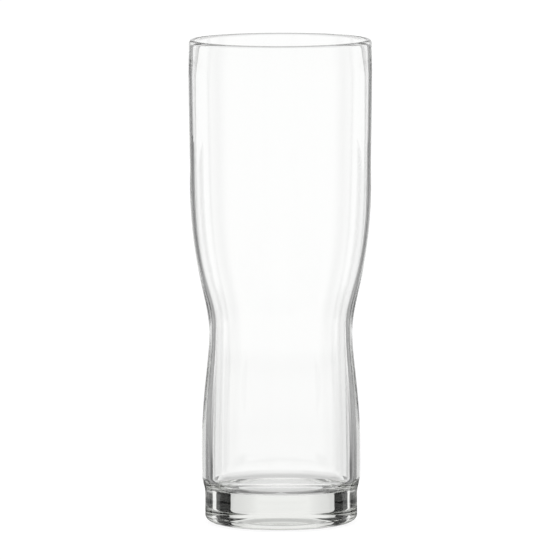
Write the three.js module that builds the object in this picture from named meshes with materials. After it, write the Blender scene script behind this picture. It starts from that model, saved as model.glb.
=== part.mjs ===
// Pilsner glass: a waisted beer glass with a solid foot, turned about Z.
// Millimetres, +Z up, with the origin at the middle of the ring that the glass stands on.

import * as THREE from 'three';

// Heights above the table
const glassHeight = 190;
const fullestHeight = 174; // the upper barrel is at its widest
const barrelHeight = 134; // the flare straightens into the upper barrel
const waistHeight = 74.5;
const bellyHeight = 29; // the lower bowl starts to draw in
const shoulderHeight = 20; // the lower bowl reaches its full width
const ledgeHeight = 10.5; // the foot's upright side ends
const floorHeight = 14.1; // the floor inside, at its edge

// Outside radii
const lipRadius = 35.8;
const fullestRadius = 36;
const barrelRadius = 35.55;
const waistRadius = 28.1;
const bellyRadius = 31.2;
const footRadius = 29.9;

// Thickness of the wall, measured level
const lipWall = 2.6; // the rounded bead of the lip
const fullestWall = 1.9;
const barrelWall = 1.75;
const waistWall = 2.7;
const bellyWall = 4.3;

// How much higher the inside turns than the outside does; below zero, it turns lower
const barrelLag = 4;
const bellyLag = -3;

// How long each curve's upright handle is, above or below its station
const outerBellyReach = 22;
const outerWaistReachBelow = 10;
const outerWaistReachAbove = 14;
const outerBarrelReach = 34;
const innerBellyReach = 30;
const innerWaistReachBelow = 9;
const innerWaistReachAbove = 14;
const innerBarrelReach = 42;
const upperWallReach = 12; // along the nearly straight wall between barrel and lip
const lipReach = 5;

// Foot and heel
const footCornerWidth = 4; // the wide rounding between the foot's side and its underside
const footCornerHeight = 3;
const standRingWidth = 2.4; // the flat ring that the glass stands on
const puntDepth = 4; // the hollow underneath
const heelRadius = 4.5; // between the wall inside and the floor
const floorDish = 0.6; // the floor is this much lower in the middle
const seamRise = 1; // the foot's wall runs upright this far on both faces before the bowl starts

// Facets
const turnSteps = 48;
const wallSteps = 10;
const flareSteps = 12;
const cornerSteps = 6;
const dishSteps = 4;

const wellRadius = bellyRadius - bellyWall;
const heelTop = floorHeight + heelRadius;
const seamHeight = Math.max(shoulderHeight, heelTop) + seamRise;

const at = (radius, height) => new THREE.Vector2(radius, height);

const seamOuter = at(bellyRadius, seamHeight);
const seamInner = at(wellRadius, seamHeight);

const straight = (from, to) => ({ curve: new THREE.LineCurve(from, to), steps: 1 });

// A wall that leaves one station upright and reaches the next one upright.
function upright(from, to, fromReach, toReach, steps) {
  const way = Math.sign(to.y - from.y);
  const leave = at(from.x, from.y + way * fromReach);
  const arrive = at(to.x, to.y - way * toReach);
  return { curve: new THREE.CubicBezierCurve(from, leave, arrive, to), steps };
}

// A stretch of the ellipse round middle, with these half-widths level and upright.
function arc(middle, level, plumb, startAngle, endAngle, clockwise, steps) {
  const { x, y } = middle;
  return { curve: new THREE.EllipseCurve(x, y, level, plumb, startAngle, endAngle, clockwise), steps };
}

// Radius of the sphere whose cap is this wide and this deep.
const capRadius = (width, depth) => (width * width + depth * depth) / (2 * depth);

// Turns an outline, drawn as stretches that follow on, into a solid about Z.
function turned(name, stretches, material) {
  const points = [stretches[0].curve.getPoint(0)];
  for (const { curve, steps } of stretches) {
    points.push(...curve.getPoints(steps).slice(1));
  }
  const solid = new THREE.LatheGeometry(points, turnSteps);
  solid.rotateX(Math.PI / 2);
  const mesh = new THREE.Mesh(solid, material);
  mesh.name = name;
  return mesh;
}

const clearGlass = () =>
  new THREE.MeshStandardMaterial({
    color: 0xe8eeec,
    roughness: 0.04,
    metalness: 0,
    transparent: true,
    opacity: 0.35,
  });

// The solid foot, drawn from the middle of its underside, round the outside and back in over the floor.
function foot() {
  const quarter = Math.PI / 2;
  const ringOuter = footRadius - footCornerWidth;
  const ringInner = ringOuter - standRingWidth;
  const puntRadius = capRadius(ringInner, puntDepth);
  const puntMiddle = at(0, puntDepth - puntRadius);
  const puntEdge = Math.atan2(-puntMiddle.y, ringInner);
  const cornerMiddle = at(ringOuter, footCornerHeight);
  const ledge = at(footRadius, ledgeHeight);
  const shoulder = at(bellyRadius, shoulderHeight);
  const shoulderReach = (shoulderHeight - ledgeHeight) / 2;
  const floorRadius = wellRadius - heelRadius;
  const heelMiddle = at(floorRadius, heelTop);
  const dishRadius = capRadius(floorRadius, floorDish);
  const dishMiddle = at(0, floorHeight - floorDish + dishRadius);
  const dishEdge = Math.atan2(floorHeight - dishMiddle.y, floorRadius);
  return turned('foot', [
    arc(puntMiddle, puntRadius, puntRadius, quarter, puntEdge, true, dishSteps),
    straight(at(ringInner, 0), at(ringOuter, 0)),
    arc(cornerMiddle, footCornerWidth, footCornerHeight, -quarter, 0, false, cornerSteps),
    straight(at(footRadius, footCornerHeight), ledge),
    upright(ledge, shoulder, shoulderReach, shoulderReach, cornerSteps),
    straight(shoulder, seamOuter),
    straight(seamOuter, seamInner),
    straight(seamInner, at(wellRadius, heelTop)),
    arc(heelMiddle, heelRadius, heelRadius, 0, -quarter, true, cornerSteps),
    arc(dishMiddle, dishRadius, dishRadius, dishEdge, -quarter, true, dishSteps),
  ], clearGlass());
}

// The open bowl, drawn from its seat on the foot up the outside, over the lip and down the inside.
function bowl() {
  const lipRound = lipWall / 2;
  const lipHeight = glassHeight - lipRound;
  const outside = {
    belly: at(bellyRadius, bellyHeight),
    waist: at(waistRadius, waistHeight),
    barrel: at(barrelRadius, barrelHeight),
    fullest: at(fullestRadius, fullestHeight),
    lip: at(lipRadius, lipHeight),
  };
  const inside = {
    belly: at(wellRadius, bellyHeight + bellyLag),
    waist: at(waistRadius - waistWall, waistHeight),
    barrel: at(barrelRadius - barrelWall, barrelHeight + barrelLag),
    fullest: at(fullestRadius - fullestWall, fullestHeight),
    lip: at(lipRadius - lipWall, lipHeight),
  };
  return turned('bowl', [
    straight(seamOuter, outside.belly),
    upright(outside.belly, outside.waist, outerBellyReach, outerWaistReachBelow, wallSteps),
    upright(outside.waist, outside.barrel, outerWaistReachAbove, outerBarrelReach, flareSteps),
    upright(outside.barrel, outside.fullest, upperWallReach, upperWallReach, cornerSteps),
    upright(outside.fullest, outside.lip, lipReach, lipReach, cornerSteps),
    arc(at(lipRadius - lipRound, lipHeight), lipRound, lipRound, 0, Math.PI, false, cornerSteps),
    upright(inside.lip, inside.fullest, lipReach, lipReach, cornerSteps),
    upright(inside.fullest, inside.barrel, upperWallReach, upperWallReach, cornerSteps),
    upright(inside.barrel, inside.waist, innerBarrelReach, innerWaistReachAbove, flareSteps),
    upright(inside.waist, inside.belly, innerWaistReachBelow, innerBellyReach, wallSteps),
    straight(inside.belly, seamInner),
    straight(seamInner, seamOuter),
  ], clearGlass());
}

const pilsnerGlass = new THREE.Group();
pilsnerGlass.name = 'pilsner_glass';
pilsnerGlass.add(bowl(), foot());

export default pilsnerGlass;
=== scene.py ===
"""Pilsner glass: one turned body of clear glass, on a white floor inside a tent of white cloth."""
import math

import bpy
import numpy as np
from mathutils import Matrix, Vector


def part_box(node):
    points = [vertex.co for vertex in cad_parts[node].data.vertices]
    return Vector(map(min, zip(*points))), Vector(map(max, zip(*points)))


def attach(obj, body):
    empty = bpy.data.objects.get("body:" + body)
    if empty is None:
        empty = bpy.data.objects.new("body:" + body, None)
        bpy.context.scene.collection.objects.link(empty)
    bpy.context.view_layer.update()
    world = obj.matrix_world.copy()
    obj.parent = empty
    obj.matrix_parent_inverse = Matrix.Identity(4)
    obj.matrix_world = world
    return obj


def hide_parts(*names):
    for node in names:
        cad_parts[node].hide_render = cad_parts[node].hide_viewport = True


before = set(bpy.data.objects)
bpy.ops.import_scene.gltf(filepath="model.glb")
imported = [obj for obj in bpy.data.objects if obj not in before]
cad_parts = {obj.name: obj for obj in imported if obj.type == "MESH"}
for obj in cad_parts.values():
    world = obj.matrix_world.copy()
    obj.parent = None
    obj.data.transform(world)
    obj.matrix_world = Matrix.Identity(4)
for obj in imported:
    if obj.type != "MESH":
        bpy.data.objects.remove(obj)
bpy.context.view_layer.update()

scene = bpy.context.scene

# Sizes of the glass in metres: what the frame's boxes hold, then the stations between them
foot_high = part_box("foot")[1]
bowl_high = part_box("bowl")[1]
GLASS_HEIGHT = bowl_high[2]
FULLEST_RADIUS = bowl_high[0]
BELLY_RADIUS = foot_high[0]

FULLEST_HEIGHT = 0.174
BARREL_HEIGHT = 0.134
WAIST_HEIGHT = 0.0745
BELLY_HEIGHT = 0.029
SHOULDER_HEIGHT = 0.020
LEDGE_HEIGHT = 0.0105
FLOOR_HEIGHT = 0.0141

LIP_RADIUS = 0.0358
BARREL_RADIUS = 0.03555
WAIST_RADIUS = 0.0281
FOOT_RADIUS = 0.0299

LIP_WALL = 0.0026
FULLEST_WALL = 0.0019
BARREL_WALL = 0.00175
WAIST_WALL = 0.0027
BELLY_WALL = 0.0043

# How much higher the inside turns than the outside does; below zero, it turns lower
BARREL_LAG = 0.004
BELLY_LAG = -0.003

# How long each curve's upright handle is, above or below its station
OUTER_BELLY_REACH = 0.022
OUTER_WAIST_REACH_BELOW = 0.010
OUTER_WAIST_REACH_ABOVE = 0.014
OUTER_BARREL_REACH = 0.034
INNER_BELLY_REACH = 0.030
INNER_WAIST_REACH_BELOW = 0.009
INNER_WAIST_REACH_ABOVE = 0.014
INNER_BARREL_REACH = 0.042
UPPER_WALL_REACH = 0.012
LIP_REACH = 0.005

# Foot and heel; the corner is the rounding's width and height
FOOT_CORNER = (0.0040, 0.0030)
STAND_RING_WIDTH = 0.0024
PUNT_DEPTH = 0.0040
HEEL_RADIUS = 0.0045
FLOOR_DISH = 0.0006
WELL_RADIUS = BELLY_RADIUS - BELLY_WALL

# Steps along each stretch of the outline, then round the axis
DISH_STEPS = 24
STRAIGHT_STEPS = 4
CORNER_STEPS = 24
LEDGE_STEPS = 16
WALL_STEPS = 24
FLARE_STEPS = 32
BARREL_STEPS = 12
BEAD_STEPS = 10
LIP_STEPS = 16
HEEL_STEPS = 20
TURN_STEPS = 256


class Wire:
    """A node's output. Sums and products of wires, and of wires and numbers, add Math nodes."""

    def __init__(self, tree, socket):
        self.tree = tree
        self.socket = socket

    @classmethod
    def node(cls, tree, kind, settings=None, inputs=None, output=0):
        """Makes a node: its settings first, then the value or the link of each of its inputs."""
        made = tree.nodes.new(kind)
        for name, value in (settings or {}).items():
            setattr(made, name, value)
        for name, value in (inputs or {}).items():
            if isinstance(value, Wire):
                tree.links.new(value.socket, made.inputs[name])
            else:
                made.inputs[name].default_value = value
        return cls(tree, made.outputs[output] if made.outputs else None)

    def math(self, operation, first, second):
        return Wire.node(self.tree, "ShaderNodeMath", {"operation": operation}, {0: first, 1: second})

    def __add__(self, other):
        return self.math("ADD", self, other)

    def __radd__(self, other):
        return self.math("ADD", other, self)

    def __mul__(self, other):
        return self.math("MULTIPLY", self, other)

    def __rmul__(self, other):
        return self.math("MULTIPLY", other, self)


def new_tree(owner):
    """Empties the node tree of a material or a world and returns it."""
    owner.use_nodes = True
    owner.node_tree.nodes.clear()
    return owner.node_tree


def straight(start, end, steps):
    """Points on the line from start to end."""
    t = np.linspace(0, 1, steps + 1)[:, None]
    return (1 - t) * np.array(start) + t * np.array(end)


def upright(start, end, start_reach, end_reach, steps):
    """Points on the cubic curve that leaves start upright and comes upright into end.

    Its inner handles stand straight above or below the ends, at the two reaches.
    """
    t = np.linspace(0, 1, steps + 1)[:, None]
    start = np.array(start)
    end = np.array(end)
    way = np.sign(end[1] - start[1])
    leave = start + (0, way * start_reach)
    arrive = end - (0, way * end_reach)
    s = 1 - t
    return s ** 3 * start + 3 * s ** 2 * t * leave + 3 * s * t ** 2 * arrive + t ** 3 * end


def arc(middle, radii, first_angle, last_angle, steps):
    """Points on the ellipse round middle, between two angles: a circle where radii is one number."""
    angle = np.linspace(first_angle, last_angle, steps + 1)
    return np.array(middle) + np.array(radii) * np.stack([np.cos(angle), np.sin(angle)], axis=1)


def cap(width, depth, height, steps, way):
    """Points on a shallow round cap, from its middle to its edge, on the circle that runs through both.

    The middle stands depth above the edge where way is 1, and depth below it where way is -1.
    """
    radius = (width ** 2 + depth ** 2) / (2 * depth)
    middle = (0, height + way * (depth - radius))
    edge = way * math.asin((radius - depth) / radius)
    return arc(middle, radius, way * math.pi / 2, edge, steps)


def outside_stretches(lip_height):
    """The outline from the middle of the underside, round the foot and up the outside to the lip."""
    ring_outer = FOOT_RADIUS - FOOT_CORNER[0]
    ring_inner = ring_outer - STAND_RING_WIDTH
    ledge = (FOOT_RADIUS, LEDGE_HEIGHT)
    shoulder = (BELLY_RADIUS, SHOULDER_HEIGHT)
    shoulder_reach = (SHOULDER_HEIGHT - LEDGE_HEIGHT) / 2
    belly = (BELLY_RADIUS, BELLY_HEIGHT)
    waist = (WAIST_RADIUS, WAIST_HEIGHT)
    barrel = (BARREL_RADIUS, BARREL_HEIGHT)
    fullest = (FULLEST_RADIUS, FULLEST_HEIGHT)
    return [
        cap(ring_inner, PUNT_DEPTH, 0, DISH_STEPS, 1),
        straight((ring_inner, 0), (ring_outer, 0), STRAIGHT_STEPS),
        arc((ring_outer, FOOT_CORNER[1]), FOOT_CORNER, -math.pi / 2, 0, CORNER_STEPS),
        straight((FOOT_RADIUS, FOOT_CORNER[1]), ledge, STRAIGHT_STEPS),
        upright(ledge, shoulder, shoulder_reach, shoulder_reach, LEDGE_STEPS),
        straight(shoulder, belly, STRAIGHT_STEPS),
        upright(belly, waist, OUTER_BELLY_REACH, OUTER_WAIST_REACH_BELOW, WALL_STEPS),
        upright(waist, barrel, OUTER_WAIST_REACH_ABOVE, OUTER_BARREL_REACH, FLARE_STEPS),
        upright(barrel, fullest, UPPER_WALL_REACH, UPPER_WALL_REACH, BARREL_STEPS),
        upright(fullest, (LIP_RADIUS, lip_height), LIP_REACH, LIP_REACH, BEAD_STEPS),
    ]


def inside_stretches(lip_height):
    """The outline from the lip down the inside, round the heel and in to the middle of the floor."""
    fullest = (FULLEST_RADIUS - FULLEST_WALL, FULLEST_HEIGHT)
    barrel = (BARREL_RADIUS - BARREL_WALL, BARREL_HEIGHT + BARREL_LAG)
    waist = (WAIST_RADIUS - WAIST_WALL, WAIST_HEIGHT)
    belly = (WELL_RADIUS, BELLY_HEIGHT + BELLY_LAG)
    heel_top = FLOOR_HEIGHT + HEEL_RADIUS
    floor_radius = WELL_RADIUS - HEEL_RADIUS
    return [
        upright((LIP_RADIUS - LIP_WALL, lip_height), fullest, LIP_REACH, LIP_REACH, BEAD_STEPS),
        upright(fullest, barrel, UPPER_WALL_REACH, UPPER_WALL_REACH, BARREL_STEPS),
        upright(barrel, waist, INNER_BARREL_REACH, INNER_WAIST_REACH_ABOVE, FLARE_STEPS),
        upright(waist, belly, INNER_WAIST_REACH_BELOW, INNER_BELLY_REACH, WALL_STEPS),
        straight(belly, (WELL_RADIUS, heel_top), STRAIGHT_STEPS),
        arc((floor_radius, heel_top), HEEL_RADIUS, 0, -math.pi / 2, HEEL_STEPS),
        cap(floor_radius, FLOOR_DISH, FLOOR_HEIGHT, DISH_STEPS, -1)[::-1],
    ]


def glass_outline():
    """Radius and height along the glass's section: from under the foot, up the outside, over the half-round
    lip and down the inside to the middle of the floor."""
    lip_round = LIP_WALL / 2
    lip_height = GLASS_HEIGHT - lip_round
    lip = arc((LIP_RADIUS - lip_round, lip_height), lip_round, 0, math.pi, LIP_STEPS)
    stretches = [*outside_stretches(lip_height), lip, *inside_stretches(lip_height)]
    return np.concatenate([stretches[0][:1]] + [stretch[1:] for stretch in stretches])


def turned_mesh(name, outline, steps):
    """A closed surface: the outline carried round the Z axis in equal steps, with a vertex at each pole."""
    radius = outline[1:-1, 0]
    height = outline[1:-1, 1]
    turn = np.linspace(0, 2 * math.pi, steps, endpoint=False)
    x = radius[:, None] * np.cos(turn)
    y = radius[:, None] * np.sin(turn)
    z = np.broadcast_to(height[:, None], x.shape)
    rings = np.stack([x, y, z], axis=2).reshape(-1, 3)
    poles = np.array([(0, 0, outline[0, 1]), (0, 0, outline[-1, 1])])
    first = np.arange(len(radius) * steps).reshape(-1, steps)
    after = np.roll(first, -1, axis=1)
    quads = np.stack([first[:-1], after[:-1], after[1:], first[1:]], axis=2).reshape(-1, 4)
    low_pole = len(rings)
    high_pole = low_pole + 1
    low_fan = np.stack([after[0], first[0], np.full(steps, low_pole)], axis=1)
    high_fan = np.stack([first[-1], after[-1], np.full(steps, high_pole)], axis=1)
    mesh = bpy.data.meshes.new(name)
    vertices = np.concatenate([rings, poles])
    mesh.from_pydata(vertices.tolist(), [], quads.tolist() + low_fan.tolist() + high_fan.tolist())
    mesh.shade_smooth()
    return mesh


# Clear glass: its least roughness, what wiping haze adds to that, how much it bends light, and its tint
POLISHED_ROUGHNESS = 0.004
HAZE_ROUGHNESS = 0.012
GLASS_IOR = 1.52
GLASS_TINT = (0.775, 0.785, 0.75, 1)
TINT_DENSITY = 12.0


def clear_glass():
    """Fire-polished clear glass: a slow ripple from the mould, faint wiping haze in the roughness, and a
    trace of grey green where the glass is thick. The roughness is the least one plus a share of the haze."""
    material = bpy.data.materials.new("clear_glass")
    tree = new_tree(material)
    place = Wire.node(tree, "ShaderNodeTexCoord", output="Object")
    ripple = Wire.node(tree, "ShaderNodeTexNoise", {}, {"Vector": place, "Scale": 45.0, "Detail": 1.0})
    haze = Wire.node(tree, "ShaderNodeTexNoise", {}, {"Vector": place, "Scale": 60.0, "Detail": 4.0})
    normal = Wire.node(tree, "ShaderNodeBump", {}, {"Strength": 0.05, "Distance": 0.0004, "Height": ripple})
    glass = Wire.node(tree, "ShaderNodeBsdfPrincipled", {}, {
        "Base Color": (0.998, 1, 0.998, 1),
        "Roughness": POLISHED_ROUGHNESS + HAZE_ROUGHNESS * haze,
        "IOR": GLASS_IOR,
        "Transmission Weight": 1.0,
        "Normal": normal,
    })
    tint = Wire.node(tree, "ShaderNodeVolumeAbsorption", {}, {"Color": GLASS_TINT, "Density": TINT_DENSITY})
    Wire.node(tree, "ShaderNodeOutputMaterial", {}, {"Surface": glass, "Volume": tint})
    return material


def make_glass():
    """The whole glass as one piece, because a seam inside clear glass would show."""
    mesh = turned_mesh("pilsner_glass", glass_outline(), TURN_STEPS)
    mesh.materials.append(clear_glass())
    glass = bpy.data.objects.new("pilsner_glass", mesh)
    scene.collection.objects.link(glass)
    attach(glass, "root")
    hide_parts("bowl", "foot")


# Camera, in metres and degrees: where the photograph was taken from
CAMERA_DISTANCE = 2.9704
CAMERA_HEIGHT = 0.4175
CAMERA_PITCH = 6.189
CAMERA_ROLL = -0.12
CAMERA_YAW = 0.0055
CAMERA_LENS = 489.8

# How far the middle of the glass is from the camera: the tent and its cards stand round that point
STAGE_DEPTH = math.hypot(CAMERA_DISTANCE, CAMERA_HEIGHT - GLASS_HEIGHT / 2)


def make_camera():
    """The camera at its place: rolled, then pitched down from level, then turned by its yaw."""
    data = bpy.data.cameras.new("camera")
    data.lens = CAMERA_LENS
    camera = bpy.data.objects.new("camera", data)
    scene.collection.objects.link(camera)
    turn = (
        Matrix.Rotation(math.radians(CAMERA_YAW), 4, "Z")
        @ Matrix.Rotation(math.radians(90 - CAMERA_PITCH), 4, "X")
        @ Matrix.Rotation(math.radians(CAMERA_ROLL), 4, "Z")
    )
    camera.matrix_world = Matrix.Translation((0, -CAMERA_DISTANCE, CAMERA_HEIGHT)) @ turn
    scene.camera = camera
    return camera


def hang(camera, name, mesh, level):
    """Hangs a glowing sheet from the camera, so that it stands the same way round the glass in every view.

    Only the glass shows it: by reflection and by what is seen through it. The level is a number, or the
    name of the attribute that holds it at each vertex.
    """
    material = bpy.data.materials.new(name)
    tree = new_tree(material)
    if isinstance(level, str):
        colour = Wire.node(tree, "ShaderNodeAttribute", {"attribute_name": level}, output="Fac")
    else:
        colour = (level, level, level, 1)
    light = Wire.node(tree, "ShaderNodeEmission", {}, {"Color": colour, "Strength": 1.0})
    Wire.node(tree, "ShaderNodeOutputMaterial", {}, {"Surface": light})
    mesh.materials.append(material)
    sheet = bpy.data.objects.new(name, mesh)
    scene.collection.objects.link(sheet)
    sheet.parent = camera
    sheet.visible_camera = False
    sheet.visible_diffuse = False
    sheet.visible_shadow = False


# The tent is white but for dark cloths on it; the cloths low down are painted shade of the table under and
# round the glass, and the thin band behind the bowl is a painted shadow. Each covers a span of turn from
# straight behind the glass, the same on both sides, and a span of tilt from level, in degrees; None is an
# open end. Then come the width of its soft edge and its level of grey. The tent itself reaches up and down to
# its greatest tilt.
TENT_RADIUS = 0.9
TENT_TILT = 89
TENT_CLOTHS = {
    # Painted shadow: a faint grey band low behind the glass, seen through the bottom of the bowl
    "painted_shadow_band": ((None, 30), (-6.2, -5.5), 2, 0.925),
    # Painted shade: these four cloths darken the tent below level, standing for the shaded table under and
    # round the glass
    "table_shade_back_of_foot": ((None, 40), (None, -9.9), 4.4, 0.88),
    "table_shade_rear": ((None, 20), (None, -23), 12, 0.70),
    "table_shade_sides": ((20, 74), (None, -21), 3, 0.38),
    "table_shade_front": ((112, None), (None, -46), 10, 0.30),
    "high_sides": ((29, 135), (19, 68), 8, 0.0),
    "side_walls": ((82, 98), (None, None), 10, 0.59),
    "ceiling": ((None, None), (56, None), 10, 0.55),
}


def within(value, span, soft):
    """One inside the span and zero outside it, over a soft edge at each end that isn't open."""
    low, high = span
    inside = np.ones_like(value)
    if low is not None:
        inside = inside * np.clip((value - low) / soft + 0.5, 0, 1)
    if high is not None:
        inside = inside * np.clip((high - value) / soft + 0.5, 0, 1)
    return inside


def make_tent(camera):
    """A ball of white cloth round the glass, with a vertex at each degree of turn and tilt.

    Its level is one, times the level of each dark cloth, painted shade among them, as far as the cloth covers
    that place.
    """
    turns = np.arange(-180, 180, 1.0)
    tilts = np.linspace(-TENT_TILT, TENT_TILT, 2 * TENT_TILT + 1)
    turn, tilt = np.meshgrid(turns, tilts)
    level = np.ones_like(turn)
    for turn_span, tilt_span, soft, grey in TENT_CLOTHS.values():
        cover = within(np.abs(turn), turn_span, soft) * within(tilt, tilt_span, soft)
        level = level * (1 - cover * (1 - grey))
    turn = np.radians(turn)
    tilt = np.radians(tilt)
    x = TENT_RADIUS * np.cos(tilt) * np.sin(turn)
    y = TENT_RADIUS * np.sin(tilt)
    z = -STAGE_DEPTH - TENT_RADIUS * np.cos(tilt) * np.cos(turn)
    vertices = np.stack([x, y, z], axis=2).reshape(-1, 3)
    first = np.arange(turn.size).reshape(turn.shape)
    after = np.roll(first, -1, axis=1)
    quads = np.stack([first[:-1], after[:-1], after[1:], first[1:]], axis=2).reshape(-1, 4)
    mesh = bpy.data.meshes.new("light_tent")
    mesh.from_pydata(vertices.tolist(), [], quads.tolist())
    mesh.attributes.new("level", "FLOAT", "POINT").data.foreach_set("value", level.ravel())
    hang(camera, "light_tent", mesh, "level")


# Cards on both sides: two places, each its distance aside and its depth behind the glass, then the lowest and
# highest edge from the middle of the glass, the level of grey, and the degrees that the pair is turned about
# the glass. Four levels are those of the corners: low at the first place, low and high at the last one, and
# high at the first.
BARS_SWING = -1.06
CARDS = {
    "black_card": ((0.158, 0.178), (0.158, 0.2975), -0.3, 0.0546, 0.0, BARS_SWING),
    "grey_card": ((0.158, 0.2975), (0.158, 0.741), -0.3, 0.0546, (0.77, 1, 1, 0.77), BARS_SWING),
    "edge_strip": ((0.0482, 0.0513), (0.0737, 0.0513), -0.3, 0.3, 0.25, 0),
    "foot_card": ((0.1053, 0.066), (0.1053, 0.1164), -0.3, -0.0782, 0.06, 0),
    "foot_card_fade": ((0.1053, 0.066), (0.1053, 0.1164), -0.0782, -0.0444, (0.06, 0.06, 1, 1), 0),
    # Painted shadow: a dark card at table height before and beside the foot, for the table's contact shadow
    # seen in the foot
    "table_shadow_card": ((0.1053, -0.0298), (0.1053, 0.0185), -0.3, -0.0942, 0.14, 0),
    "foot_strip": ((0.0407, 0.0696), (0.1005, 0.0696), -0.13, -0.0845, 0.06, 0),
}


def make_card(camera, name, side, first, last, low, high, level, swing):
    """An upright card: a flat sheet between two places, each turned about the glass by the swing."""
    swing = math.radians(swing)
    corners = []
    for (aside, depth), height in ((first, low), (last, low), (last, high), (first, high)):
        x = side * aside * math.cos(swing) + depth * math.sin(swing)
        z = side * aside * math.sin(swing) - depth * math.cos(swing)
        corners.append((x, height, z - STAGE_DEPTH))
    mesh = bpy.data.meshes.new(name)
    mesh.from_pydata(corners, [], [(0, 1, 2, 3)])
    if isinstance(level, tuple):
        mesh.attributes.new("level", "FLOAT", "POINT").data.foreach_set("value", level)
        level = "level"
    hang(camera, name, mesh, level)


# Floor: its own light, the grey that takes the shadow, half its width, and how far it lies below the glass
FLOOR_GLOW = 0.90
FLOOR_GREY = 0.16
FLOOR_HALF_WIDTH = 20.0
FLOOR_DROP = 0.0002


def make_floor():
    """A wide white floor: a plain level of its own light, and a part that takes the glass's soft shadow."""
    material = bpy.data.materials.new("white_floor")
    tree = new_tree(material)
    glow = Wire.node(tree, "ShaderNodeEmission", {}, {"Color": (1, 1, 1, 1), "Strength": FLOOR_GLOW})
    matt = Wire.node(tree, "ShaderNodeBsdfDiffuse", {}, {"Color": (FLOOR_GREY, FLOOR_GREY, FLOOR_GREY, 1)})
    both = Wire.node(tree, "ShaderNodeAddShader", {}, {0: glow, 1: matt})
    Wire.node(tree, "ShaderNodeOutputMaterial", {}, {"Surface": both})
    half = FLOOR_HALF_WIDTH
    corners = [(x, y, -FLOOR_DROP) for x, y in ((-half, -half), (half, -half), (half, half), (-half, half))]
    mesh = bpy.data.meshes.new("floor")
    mesh.from_pydata(corners, [], [(0, 1, 2, 3)])
    mesh.materials.append(material)
    floor = bpy.data.objects.new("floor", mesh)
    scene.collection.objects.link(floor)
    floor.visible_transmission = False
    floor.visible_glossy = False


def make_world():
    """White all round."""
    world = bpy.data.worlds.new("white_studio")
    scene.world = world
    tree = new_tree(world)
    back = Wire.node(tree, "ShaderNodeBackground", {}, {"Color": (1, 1, 1, 1), "Strength": 1.0})
    Wire.node(tree, "ShaderNodeOutputWorld", {}, {"Surface": back})


scene.view_settings.view_transform = "Standard"

# Light passes many faces of the glass and turns back inside the foot
scene.cycles.max_bounces = 32
scene.cycles.transmission_bounces = 32
scene.cycles.glossy_bounces = 24

camera = make_camera()
make_world()
make_floor()
make_tent(camera)
for name, card in CARDS.items():
    for side in (-1, 1):
        make_card(camera, name, side, *card)
make_glass()
